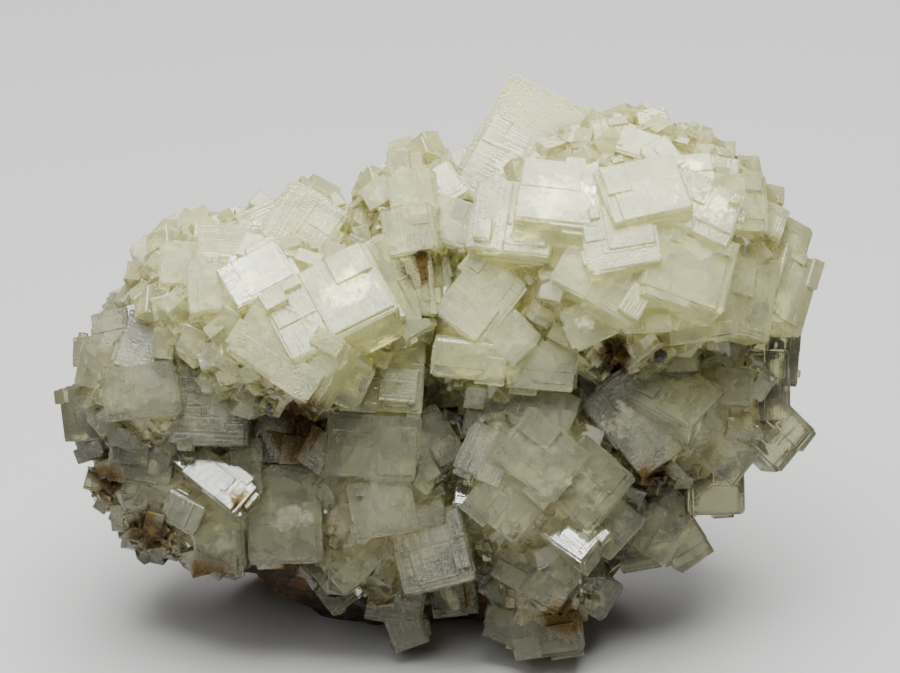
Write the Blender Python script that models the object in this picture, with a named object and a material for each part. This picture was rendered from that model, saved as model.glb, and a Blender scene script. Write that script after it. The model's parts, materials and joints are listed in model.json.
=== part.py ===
"""Hydroxyapophyllite specimen: groups of intergrown translucent crystals on a rusty rock matrix.

Run it with blender --background --python part.py. Metres, +Z up. The origin is the middle of
the flat that the specimen rests on, and its show face looks towards -Y.
"""

import math
import random
from collections import namedtuple

import bmesh
import bpy
from mathutils import Matrix, Vector, noise

MM = 0.001

# ---- driving dimensions -------------------------------------------------------------------
CLEFT = 0.3 * MM  # gap between two groups, and between a group and the matrix
SHOW_CENTRE = Vector((1.5, -7.5, 33.2)) * MM  # the middle of the show face
SIGHT_DISTANCE = 348 * MM  # the show face is laid out as seen from here ...
SIGHT_ELEVATION = math.radians(25)  # ... this far above the horizontal
PROUD_SHARE = 0.45  # share of a crystal's thickness that stands out of its mound

SIGHT_UP = Vector((0, math.sin(SIGHT_ELEVATION), math.cos(SIGHT_ELEVATION)))
SIGHT_TOWARDS = Vector((0, -math.cos(SIGHT_ELEVATION), math.sin(SIGHT_ELEVATION)))
EYE = SHOW_CENTRE + SIGHT_TOWARDS * SIGHT_DISTANCE

Mound = namedtuple("Mound", "x y z radius_x radius_y radius_z")

# The rock: three lumps grown together, cut flat where the specimen rests.
MATRIX_LUMPS = [
    Mound(1, -1, 14, 25, 13.5, 20),
    Mound(-23, -4, 17.5, 14, 11.5, 13),
    Mound(21.5, -0.5, 22, 14, 10.5, 14),
]
ROUGHNESS = 0.08  # how far the rock's surface strays, as a share of its radius
BREAKS = 14  # flat fractures round each lump of rock ...
BREAK_DEPTHS = (0.74, 0.95)  # ... this far from its middle, as a share of its radius

# Each group of crystals has grown from one or more mounds, given in mm, and holds crystals
# laid out on the show face: (across, up, wide, tall, thick, roll, yaw, pitch). Across and up
# place the middle of the broad face, in mm from SHOW_CENTRE as seen from EYE. Roll turns it
# anticlockwise, yaw turns it to look right and pitch to look up, in degrees. A ninth number,
# where there is one, is the size of the facets that cut its corners, in mm.
GROUPS = {
    "crown_crystals": (
        [Mound(19, -5.5, 42.5, 15.5, 13, 12.5), Mound(6, -8, 35, 9.5, 9, 7.5)],
        {
            "tall_blade": (7.5, 20.0, 9.3, 12.5, 4.5, -27, -5, 10),
            "blade_step": (6.0, 17.5, 8.5, 9.0, 4.0, -27, -8, 15),
            "big_face": (6.5, 12.5, 9.0, 8.0, 7.0, -6, -10, 20),
            "corner_block": (3.0, 4.0, 6.5, 8.0, 6.0, -38, -10, 5),
            "side_slab": (-1.5, 6.0, 3.0, 10.0, 7.0, 13, -15, 5),
            "diamond": (6.5, 0.0, 4.5, 4.5, 4.0, -47, 5, 0),
            "skirt_left": (2.0, -2.5, 7.5, 4.0, 6.0, -6, 0, -10),
            "skirt_right": (9.5, -3.0, 7.0, 5.5, 6.0, -5, 0, -5),
            "brow": (11.5, 15.0, 9.0, 8.0, 7.0, -8, 0, 35),
            "peak": (13.0, 21.5, 3.5, 3.5, 3.0, 40, 0, 20),
            "sky_1": (16.5, 21.5, 4.0, 3.5, 4.0, 10, 0, 40),
            "sky_2": (19.5, 20.0, 4.5, 3.5, 4.0, -20, 5, 30),
            "sky_3": (22.0, 18.8, 3.5, 4.0, 4.0, 30, 5, 30),
            "sky_4": (25.0, 17.5, 4.5, 3.5, 4.0, 5, 5, 30),
            "sky_5": (28.0, 17.0, 4.0, 4.0, 4.0, -10, 10, 25),
            "sky_6": (30.5, 17.0, 4.0, 3.8, 4.0, 5, 15, 20),
            "window": (30.0, 14.0, 6.0, 6.0, 5.0, -3, 15, 15),
            "summit_slab": (20.0, 15.5, 8.5, 7.5, 7.0, 15, 0, 35),
            "shoulder": (26.0, 13.5, 8.0, 7.0, 6.0, -28, 15, 30),
            "middle": (17.5, 10.5, 7.5, 7.0, 7.0, 10, 0, 20),
            "tip": (18.5, 6.0, 6.0, 8.0, 6.0, -33, 5, 12),
            "right_face": (25.0, 7.5, 9.0, 8.0, 7.0, -20, 15, 15),
            "small_face": (13.5, 7.0, 5.0, 5.0, 5.0, -28, -5, 10),
            "clear_square": (30.5, 4.5, 7.5, 8.5, 6.0, -12, 25, 5),
            "right_edge": (35.6, 4.6, 5.2, 8.2, 6.0, -20, 32, 0),
            "right_top": (34.6, 10.3, 6.0, 5.0, 5.0, -27, 28, 15),
            "right_brow": (32.5, 12.5, 5.0, 4.5, 5.0, -30, 20, 30),
            "under_lip": (26.0, 2.0, 7.0, 5.0, 6.0, 10, 5, -5),
            "under_tip": (14.5, 1.5, 5.0, 4.5, 5.0, 25, 0, 0),
            "under_middle": (20.5, 3.0, 5.5, 5.0, 6.0, 2, 5, 0),
        },
    ),
    "notch_crystals": (
        [Mound(-1.8, -3.5, 42.5, 6.3, 9, 8.6)],
        {
            "notch_left": (-4.0, 14.8, 4.8, 4.8, 5.0, 12, -15, 10),
            "notch_middle": (-1.0, 15.5, 4.5, 4.5, 4.0, 35, -5, 20),
            "notch_top": (0.7, 17.5, 4.0, 4.0, 4.0, 25, -5, 25),
            "notch_low": (0.0, 12.0, 5.0, 5.0, 5.0, -20, -10, 10),
            "notch_wall": (-4.5, 11.0, 5.5, 5.0, 5.0, 10, -20, 5),
            "cleft_wall": (-3.8, 6.5, 4.0, 9.0, 5.0, 8, -20, 0),
        },
    ),
    "left_mound_crystals": (
        [Mound(-14.5, -9.5, 37.5, 12, 12, 9.5), Mound(-22, -6.5, 36.5, 9, 10, 8)],
        {
            "left_diamond": (-15.5, 11.5, 7.2, 7.2, 4.5, -32, -5, 15),
            "left_plate": (-12.6, 3.8, 12.0, 8.6, 7.0, 29, -5, 24),
            "lower_plate": (-16.8, -1.2, 11.0, 7.5, 7.0, -32, -12, 5),
            "frosted_block": (-7.0, -3.6, 9.0, 8.5, 9.5, -4, 5, 5),
            "side_wall": (-5.5, 5.0, 5.0, 11.0, 8.0, 26, 32, 15),
            "clear_cube": (-28.0, 7.5, 4.3, 4.5, 4.3, 0, -10, 5),
            "back_block": (-23.0, 9.5, 6.5, 4.8, 5.0, -2, -5, 15),
            "ledge": (-20.0, 6.5, 7.0, 5.0, 6.0, 30, 0, 20),
            "ledge_left": (-24.5, 5.0, 5.5, 5.0, 5.0, 5, -5, 10),
            "ridge": (-19.5, 11.8, 4.5, 3.8, 4.0, 25, 0, 15),
            "thin_blade": (-9.9, 13.6, 3.6, 0.6, 9.0, 37, 0, 10),
            "saddle": (-8.0, 11.3, 4.8, 4.2, 4.5, 10, 5, 30),
            "underside": (-11.5, -4.5, 6.0, 5.0, 5.0, -25, 0, -10),
        },
    ),
    "far_left_crystals": (
        [Mound(-27.5, -6.5, 28, 8.5, 10.5, 8.5)],
        {
            "rounded_tile": (-32.0, -5.6, 8.0, 5.8, 5.0, 8, -10, 0, 1.3),
            "square_tile": (-25.0, -7.0, 8.0, 8.5, 6.0, -2, -5, 0),
            "outer_low": (-38.3, -8.0, 5.2, 6.0, 6.0, 5, -30, -5),
            "outer_middle": (-36.3, -3.0, 5.2, 5.0, 5.0, -10, -25, 5),
            "outer_top": (-34.5, 0.8, 5.5, 4.6, 5.0, 12, -15, 15),
            "outer_chip": (-37.8, -1.5, 3.2, 3.2, 4.0, 0, -30, 5),
            "bright_patch": (-31.0, -1.0, 6.5, 6.0, 5.0, -15, -5, 15),
            "cream_brow": (-30.5, 2.0, 5.8, 4.2, 5.0, 12, -5, 20),
            "cream_middle": (-26.0, -0.5, 6.5, 6.0, 6.0, 10, 0, 12),
            "cream_right": (-21.5, -1.0, 6.0, 5.5, 5.0, -15, 0, 10),
            "tile_edge": (-20.5, -8.0, 3.5, 8.0, 5.0, 2, 15, 0),
        },
    ),
    "lower_left_crystals": (
        [Mound(-22, -8.5, 18, 13, 10, 9)],
        {
            "dark_plate": (-32.0, -12.6, 7.5, 5.8, 5.0, -10, -20, -8),
            "mirror_plate": (-24.0, -14.8, 7.5, 4.0, 5.0, -38, -4, 20),
            "mirror_upper": (-28.5, -11.6, 5.5, 2.6, 4.5, -38, -5, 20),
            "low_block": (-24.0, -21.0, 5.5, 7.0, 5.0, 3, -10, -5),
            "tall_block": (-17.2, -18.4, 7.8, 10.0, 6.0, 2, -5, 0),
            "stepped_block": (-12.5, -19.8, 5.0, 6.5, 6.0, -8, 12, 0),
            "top_block": (-16.0, -15.3, 4.8, 4.0, 6.0, 0, 5, 0),
            "outer_foot": (-37.2, -11.0, 4.2, 3.8, 5.0, 15, -30, -15),
            "upright_bits": (-21.0, -13.5, 3.5, 6.0, 4.0, 2, 10, 0),
            "heel": (-27.8, -18.3, 4.5, 4.0, 4.0, -30, -20, -20),
        },
    ),
    "lower_middle_crystals": (
        [Mound(-6, -10.5, 17.5, 10, 10, 12), Mound(-14.5, -5.5, 24.5, 8, 8, 8)],
        {
            "hanging_block": (-8.0, -10.5, 9.5, 8.5, 7.0, -6, 0, 0),
            "hanging_corner": (-2.0, -11.0, 5.5, 6.5, 5.0, 32, 5, 0),
            "rusty_face": (-16.2, -8.8, 8.0, 9.0, 4.0, -8, 5, 5),
            "wedge": (-13.0, -12.0, 5.0, 4.5, 5.0, -30, -5, 0),
            "knuckle": (-2.0, -22.0, 8.0, 8.0, 7.0, 15, -5, 5),
            "bright_chip": (3.0, -23.0, 4.5, 4.2, 4.0, -30, 0, 10),
            "plate_stack": (-9.0, -23.5, 7.0, 2.5, 5.0, 42, 0, 0),
            "plate_low": (-11.0, -26.0, 5.5, 3.5, 5.0, 38, -5, -5),
            "sole": (-5.5, -27.0, 6.0, 6.0, 5.0, -10, 0, -10),
            "sole_tip": (-4.5, -30.5, 4.0, 4.0, 4.0, 20, 0, -10),
            "pink_block": (0.5, -26.5, 5.0, 5.0, 5.0, 5, 0, -5),
            "shade_block": (-7.0, -17.5, 6.5, 6.0, 5.0, 10, 0, 0),
            "cleft_post": (0.5, -8.6, 6.0, 6.0, 5.0, 1, 0, 0),
        },
    ),
    "lower_front_crystals": (
        [Mound(10.5, -10.5, 19, 10, 10, 12)],
        {
            "front_slab": (9.5, -12.2, 8.0, 6.8, 7.0, -40, 0, 2),
            "front_step": (14.2, -15.2, 7.2, 7.5, 6.5, -39, 3, 0),
            "front_cell": (6.0, -16.8, 7.0, 6.5, 6.5, -38, -2, 3),
            "front_left": (4.0, -12.2, 6.0, 5.5, 6.0, -25, -5, 5),
            "striped_block": (12.8, -20.0, 6.2, 4.8, 5.0, -38, -1, 19),
            "front_low": (9.0, -24.2, 8.5, 6.0, 6.0, -30, -5, 0),
            "front_toe": (6.6, -26.8, 5.0, 5.0, 5.0, 20, 0, -5),
            "small_mirror": (1.8, -16.0, 2.6, 2.9, 3.5, -5, -2, 21),
            "front_right": (16.0, -19.0, 7.0, 6.0, 6.0, -42, 10, -5),
            "blunt_tip": (9.5, -7.5, 7.0, 5.5, 5.0, -22, 0, 0, 1.2),
            "recess": (4.6, -7.8, 6.0, 6.0, 5.0, -10, 0, 0),
        },
    ),
    "right_flank_crystals": (
        [Mound(24.5, -6.5, 26.5, 10, 10, 9)],
        {
            "leaning_slab": (19.0, -8.8, 10.2, 6.4, 5.0, -51, -8, 0),
            "frosted_table": (23.3, -5.6, 7.8, 6.8, 3.0, -36, 3, 38),
            "table_side": (25.5, -9.0, 4.5, 4.5, 5.0, -60, 5, 0),
            "bright_cube": (29.5, -5.0, 3.8, 4.0, 4.0, -5, 5, 10),
            "right_point": (33.5, -9.3, 8.0, 6.2, 5.0, -42, 20, 0),
            "lower_point": (28.5, -12.0, 6.0, 5.0, 5.0, -38, 5, -5),
            "striated_cube": (27.5, -15.5, 6.0, 6.0, 5.0, 1, 5, 0),
            "column": (32.5, -5.0, 5.5, 7.5, 5.0, 0, 10, 0),
            "column_back": (34.5, -1.8, 4.5, 6.5, 5.0, -5, 30, 0),
            "lintel": (21.5, -1.3, 7.5, 5.0, 5.0, -10, 0, 5),
            "recess_wall": (15.8, -5.0, 5.0, 6.0, 5.0, 12, 0, 0),
        },
    ),
    "low_right_crystals": (
        [Mound(20, -7.5, 14, 6.5, 7, 5)],
        {
            "cluster_left": (19.5, -22.0, 4.5, 4.5, 4.0, 10, 0, -5),
            "cluster_middle": (21.8, -20.3, 5.5, 5.5, 5.0, -30, 5, 0),
            "cluster_point": (24.5, -21.5, 4.5, 4.8, 4.0, 33, 10, -5),
            "cluster_top": (22.5, -17.8, 4.5, 4.0, 4.0, 45, 0, 10),
        },
    ),
    "foot_crystals": (
        [Mound(11, -14.5, 8, 5.5, 5, 4)],
        {
            "foot_block": (10.0, -30.3, 7.5, 5.5, 5.5, 8, 0, -5, 1.3),
            "foot_left": (5.5, -30.0, 4.0, 3.5, 4.0, -20, -10, -5),
            "foot_right": (15.0, -26.5, 5.0, 4.5, 4.0, -30, 15, -10),
        },
    ),
}

# Mounds that the show face doesn't reach, over the top and the back of the rock, and how many
# crystals each mound's hidden side carries.
BACK_GROUPS = {
    "back_left_crystals": ([Mound(-17, 3.5, 30.5, 13, 8.5, 9.5)], 14),
    "back_right_crystals": ([Mound(14, 5, 34.5, 16, 8, 12.5)], 14),
    "back_low_crystals": ([Mound(-3, 9, 22, 10, 4.5, 8)], 8),
}
HIDDEN_CRYSTALS = {
    "crown_crystals": 9,
    "left_mound_crystals": 6,
    "far_left_crystals": 7,
    "right_flank_crystals": 7,
    "notch_crystals": 4,
    "lower_left_crystals": 4,
    "lower_middle_crystals": 4,
    "lower_front_crystals": 4,
    "low_right_crystals": 2,
}
HIDDEN_SIZES = (4.0 * MM, 8.5 * MM)  # near the outline of the show face, and far behind it


def clear_scene():
    """An empty scene, whatever was open before."""
    for obj in list(bpy.data.objects):
        bpy.data.objects.remove(obj)


def collection(name, hidden=False):
    made = bpy.data.collections.new(name)
    bpy.context.scene.collection.children.link(made)
    made.hide_render = hidden
    return made


def material(name, colour, roughness):
    made = bpy.data.materials.new(name)
    made.use_nodes = True
    shader = made.node_tree.nodes["Principled BSDF"]
    shader.inputs["Base Color"].default_value = (*colour, 1)
    shader.inputs["Roughness"].default_value = roughness
    return made


def centre_of(mound):
    return Vector((mound.x, mound.y, mound.z)) * MM


def radii_of(mound):
    return Vector((mound.radius_x, mound.radius_y, mound.radius_z)) * MM


def inside(mound, point):
    """Under 1 inside the mound, 1 on its surface."""
    offset = point - centre_of(mound)
    return sum((o / r) ** 2 for o, r in zip(offset, radii_of(mound))) ** 0.5


def seat(mounds, across, up):
    """Where the line of sight through a point of the show face meets the nearest mound. A line
    that misses them all gets the point where it passes closest to a mound's middle."""
    through = SHOW_CENTRE + Vector((1, 0, 0)) * across + SIGHT_UP * up
    way = (through - EYE).normalized()
    hits, misses = [], []
    for mound in mounds:
        radii = radii_of(mound)
        start = EYE - centre_of(mound)
        scaled_start = Vector(s / r for s, r in zip(start, radii))
        scaled_way = Vector(w / r for w, r in zip(way, radii))
        a = scaled_way.length_squared
        b = scaled_start.dot(scaled_way)
        c = scaled_start.length_squared - 1
        root = b * b - a * c
        if root >= 0:
            hits.append((-b - math.sqrt(root)) / a)
        else:
            misses.append((-root, -b / a))
    distance = min(hits) if hits else min(misses)[1]
    return EYE + way * distance, way


def show_turn(roll, yaw, pitch):
    """The turn from a block's own axes (x across, y up, z out) to the part's."""
    sight = Matrix((Vector((1, 0, 0)), SIGHT_UP, SIGHT_TOWARDS)).transposed()
    own = (
        Matrix.Rotation(math.radians(yaw), 3, "Y")
        @ Matrix.Rotation(-math.radians(pitch), 3, "X")
        @ Matrix.Rotation(math.radians(roll), 3, "Z")
    )
    return sight @ own


def block(name, home, size, turn, centre, corner_cut=0.0):
    """One crystal: a box, with its corners cut by small facets where corner_cut isn't zero."""
    mesh = bpy.data.meshes.new(name)
    shape = bmesh.new()
    bmesh.ops.create_cube(shape, size=1)
    bmesh.ops.scale(shape, vec=size, verts=shape.verts)
    if corner_cut:
        bmesh.ops.bevel(
            shape, geom=shape.verts, offset=corner_cut, affect="VERTICES", segments=1
        )
    shape.to_mesh(mesh)
    shape.free()
    mesh.transform(Matrix.Translation(centre) @ turn.to_4x4())
    obj = bpy.data.objects.new(name, mesh)
    home.objects.link(obj)
    return obj


def ellipsoid(name, home, mound, grow=0.0, detail=2):
    """A mound as a coarse ball, scaled so that its faces lie about on the true surface."""
    mesh = bpy.data.meshes.new(name)
    shape = bmesh.new()
    bmesh.ops.create_icosphere(shape, subdivisions=detail, radius=1)
    radii = radii_of(mound) + Vector((grow, grow, grow))
    bmesh.ops.scale(shape, vec=radii, verts=shape.verts)
    bmesh.ops.translate(shape, vec=centre_of(mound), verts=shape.verts)
    shape.to_mesh(mesh)
    shape.free()
    obj = bpy.data.objects.new(name, mesh)
    home.objects.link(obj)
    return obj


def show_blocks(mounds, crystals):
    """(size, turn, centre, corner cut) of each crystal laid out on the show face."""
    for across, up, wide, tall, thick, roll, yaw, pitch, *cut in crystals.values():
        point, way = seat(mounds, across * MM, up * MM)
        turn = show_turn(roll, yaw, pitch)
        face_middle = point - way * thick * PROUD_SHARE * MM
        centre = face_middle - turn.col[2] * thick * MM / 2
        size = Vector((wide, tall, thick)) * MM
        yield size, turn, centre, (cut[0] * MM if cut else 0.0)


def shown(point, normal):
    """True where a crystal would crowd those of the show face."""
    return normal.dot(SIGHT_TOWARDS) > -0.15


def hidden_blocks(mounds, count, others, dice):
    """(size, turn, centre, corner cut) of crystals spread over the far side of the mounds."""
    made, taken = [], []
    golden = math.pi * (3 - math.sqrt(5))
    spots = 101
    for mound in mounds:
        for step in range(spots):
            i = step * 7 % spots
            z = 1 - 2 * (i + 0.5) / spots
            ring = math.sqrt(1 - z * z)
            unit = Vector((ring * math.cos(golden * i), ring * math.sin(golden * i), z))
            point = centre_of(mound) + Vector(
                u * r for u, r in zip(unit, radii_of(mound))
            )
            normal = Vector(u / r for u, r in zip(unit, radii_of(mound))).normalized()
            if shown(point, normal) or any(inside(m, point) < 0.97 for m in others):
                continue
            behind = min(1.0, max(0.0, -normal.dot(SIGHT_TOWARDS) - 0.15) / 0.4)
            side = HIDDEN_SIZES[0] + (HIDDEN_SIZES[1] - HIDDEN_SIZES[0]) * behind
            side *= dice.uniform(0.75, 1.1)
            if any((point - at).length < side * 0.8 for at in taken):
                continue
            taken.append(point)
            size = Vector((side, side * dice.uniform(0.75, 1), side * 0.8))
            turn = (
                normal.to_track_quat("Z", "Y").to_matrix()
                @ Matrix.Rotation(dice.uniform(0, math.pi), 3, "Z")
                @ Matrix.Rotation(dice.uniform(-0.5, 0.5), 3, "X")
            )
            centre = point - normal * side * (0.3 - 0.3 * behind * dice.random())
            made.append((size, turn, centre, 0.0))
    return made[:count]


def grown(size):
    return size + Vector((2, 2, 2)) * CLEFT


def boolean(obj, operation, others):
    modifier = obj.modifiers.new(operation.title(), "BOOLEAN")
    modifier.operation = operation
    modifier.operand_type = "COLLECTION"
    modifier.collection = others
    modifier.solver = "EXACT"


def as_mesh(obj, home):
    """The object with its modifiers applied and any crumbs that a cut left over removed."""
    graph = bpy.context.evaluated_depsgraph_get()
    mesh = bpy.data.meshes.new_from_object(obj.evaluated_get(graph))
    name = obj.name
    obj.name = name + "_rough"
    made = bpy.data.objects.new(name, mesh)
    home.objects.link(made)
    keep_largest(mesh)
    return made


def keep_largest(mesh):
    """Removes every loose island of the mesh but the one with the largest volume."""
    shape = bmesh.new()
    shape.from_mesh(mesh)
    todo, islands = set(shape.faces), []
    while todo:
        island, front = set(), [todo.pop()]
        while front:
            face = front.pop()
            island.add(face)
            for edge in face.edges:
                for neighbour in edge.link_faces:
                    if neighbour in todo:
                        todo.remove(neighbour)
                        front.append(neighbour)
        islands.append(island)

    def reach(island):
        return sum(face.calc_area() for face in island)

    islands.sort(key=reach)
    spare = [face for island in islands[:-1] for face in island]
    bmesh.ops.delete(shape, geom=spare, context="FACES")
    bmesh.ops.dissolve_degenerate(shape, dist=1e-7, edges=shape.edges)
    shape.to_mesh(mesh)
    shape.free()


def rock_lump(name, home, lump, grow):
    """One lump of rock: a ball with a broken, uneven surface."""
    mesh = bpy.data.meshes.new(name)
    shape = bmesh.new()
    bmesh.ops.create_icosphere(shape, subdivisions=3, radius=1)
    radii, centre = radii_of(lump), centre_of(lump)
    dice = random.Random(round(lump.x))
    breaks = [
        (Vector(dice.gauss(0, 1) for _ in range(3)).normalized(), dice.uniform(*BREAK_DEPTHS))
        for _ in range(BREAKS)
    ]
    for vert in shape.verts:
        unit = vert.co.copy()
        at = unit * 1.7 + centre * 90
        vert.co *= 1 + ROUGHNESS * noise.noise(at) + ROUGHNESS / 2 * noise.noise(at * 2.6)
        for normal, depth in breaks:
            vert.co -= normal * max(0.0, vert.co.dot(normal) - depth)
        vert.co = Vector(c * r for c, r in zip(vert.co, radii))
    bmesh.ops.dissolve_limit(
        shape, angle_limit=math.radians(19), verts=shape.verts, edges=shape.edges
    )
    bmesh.ops.triangulate(shape, faces=shape.faces)
    for vert in shape.verts:
        vert.co = centre + vert.co + vert.co.normalized() * grow
    shape.to_mesh(mesh)
    shape.free()
    obj = bpy.data.objects.new(name, mesh)
    home.objects.link(obj)
    return obj


def matrix_rock(name, home, grow=0.0):
    """The rock: its lumps joined, with a flat underneath to rest on."""
    others = collection(name + "_lumps", hidden=True)
    under = collection(name + "_under", hidden=True)
    rock = rock_lump(name, home, MATRIX_LUMPS[0], grow)
    for i, lump in enumerate(MATRIX_LUMPS[1:]):
        rock_lump(f"{name}_lump_{i}", others, lump, grow)
    deep = 40 * MM
    wide = Vector((200 * MM, 200 * MM, deep))
    block(name + "_floor", under, wide, Matrix.Identity(3), Vector((0, 0, -deep / 2 - grow)))
    boolean(rock, "UNION", others)
    boolean(rock, "DIFFERENCE", under)
    bpy.context.view_layer.update()
    made = as_mesh(rock, home)
    for obj in [rock, *others.objects, *under.objects]:
        bpy.data.objects.remove(obj)
    return made


def main():
    clear_scene()
    dice = random.Random(7)
    specimen = collection("hydroxyapophyllite_specimen")
    tools = collection("cutters", hidden=True)
    crystal = material("crystal", (0.88, 0.87, 0.76), 0.25)
    rock = material("matrix", (0.32, 0.21, 0.13), 0.85)

    matrix = matrix_rock("matrix", specimen)
    matrix.data.materials.append(rock)
    stay_clear = collection("stay_clear_matrix", hidden=True)
    matrix_rock("matrix_grown", stay_clear, CLEFT)

    everything = {**GROUPS, **BACK_GROUPS}
    all_mounds = [m for mounds, _ in everything.values() for m in mounds]
    clear_of = [stay_clear]
    for name, (mounds, crystals) in everything.items():
        others = [m for m in all_mounds if m not in mounds] + MATRIX_LUMPS
        if name in BACK_GROUPS:
            blocks = hidden_blocks(mounds, crystals, others, dice)
        else:
            blocks = list(show_blocks(mounds, crystals))
            blocks += hidden_blocks(mounds, HIDDEN_CRYSTALS.get(name, 0), others, dice)
        joined = collection(name + "_blocks", hidden=True)
        grown_ones = collection(name + "_grown", hidden=True)
        base = ellipsoid(name, tools, mounds[0])
        ellipsoid(name + "_mound_grown", grown_ones, mounds[0], CLEFT)
        for i, mound in enumerate(mounds[1:]):
            ellipsoid(f"{name}_mound_{i}", joined, mound)
            ellipsoid(f"{name}_mound_{i}_grown", grown_ones, mound, CLEFT)
        for i, (size, turn, centre, cut) in enumerate(blocks):
            block(f"{name}_{i}", joined, size, turn, centre, cut)
            block(f"{name}_{i}_grown", grown_ones, grown(size), turn, centre, cut)
        boolean(base, "UNION", joined)
        for taken in clear_of:
            boolean(base, "DIFFERENCE", taken)
        bpy.context.view_layer.update()
        as_mesh(base, specimen).data.materials.append(crystal)
        clear_of.append(grown_ones)

    for home in [tools, *clear_of]:
        for obj in list(home.objects):
            bpy.data.objects.remove(obj)
    for home in list(bpy.data.collections):
        if home.name.endswith("_blocks"):
            for obj in list(home.objects):
                bpy.data.objects.remove(obj)


main()
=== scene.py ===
"""Looks of the hydroxyapophyllite specimen: stepped, chamfered crystals grown together over a
rusty rock, with cleavage veils sealed in them, on a pale table top."""

import json
import math
import random
from collections import namedtuple

import bmesh
import bpy
import numpy as np
from mathutils import Matrix, Vector, noise

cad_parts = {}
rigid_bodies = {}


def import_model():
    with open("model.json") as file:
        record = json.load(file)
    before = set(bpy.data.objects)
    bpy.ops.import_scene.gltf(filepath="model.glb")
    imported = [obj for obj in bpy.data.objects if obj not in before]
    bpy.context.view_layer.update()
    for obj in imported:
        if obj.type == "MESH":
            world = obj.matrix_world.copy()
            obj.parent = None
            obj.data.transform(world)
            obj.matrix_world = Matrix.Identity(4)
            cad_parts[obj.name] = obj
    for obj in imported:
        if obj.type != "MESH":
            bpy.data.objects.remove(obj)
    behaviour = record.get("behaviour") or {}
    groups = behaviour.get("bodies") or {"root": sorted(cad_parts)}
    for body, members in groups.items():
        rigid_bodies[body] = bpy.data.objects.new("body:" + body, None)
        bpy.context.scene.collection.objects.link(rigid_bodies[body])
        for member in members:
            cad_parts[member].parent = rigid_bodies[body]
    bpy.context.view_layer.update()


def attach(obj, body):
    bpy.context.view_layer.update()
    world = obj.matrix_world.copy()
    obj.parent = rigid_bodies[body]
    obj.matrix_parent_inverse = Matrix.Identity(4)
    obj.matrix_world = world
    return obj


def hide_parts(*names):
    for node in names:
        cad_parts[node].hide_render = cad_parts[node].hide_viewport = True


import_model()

MM = 0.001

# ---- where things sit ----
SHOW_CENTRE = Vector((1.5, -7.5, 33.2)) * MM  # the middle of the show face
SIGHT_DISTANCE = 348 * MM
SIGHT_ELEVATION = math.radians(25)
SIGHT_UP = Vector((0, math.sin(SIGHT_ELEVATION), math.cos(SIGHT_ELEVATION)))
SIGHT_TOWARDS = Vector((0, -math.cos(SIGHT_ELEVATION), math.sin(SIGHT_ELEVATION)))
EYE = SHOW_CENTRE + SIGHT_TOWARDS * SIGHT_DISTANCE
GLINT_LAMP = Vector((-62, -205, 490)) * MM
PROUD_SHARE = 0.45  # share of a crystal's thickness that stands out of its mound
CLEFT = 0.1 * MM  # gap between two groups of crystals

Mound = namedtuple("Mound", "x y z radius_x radius_y radius_z")

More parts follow.
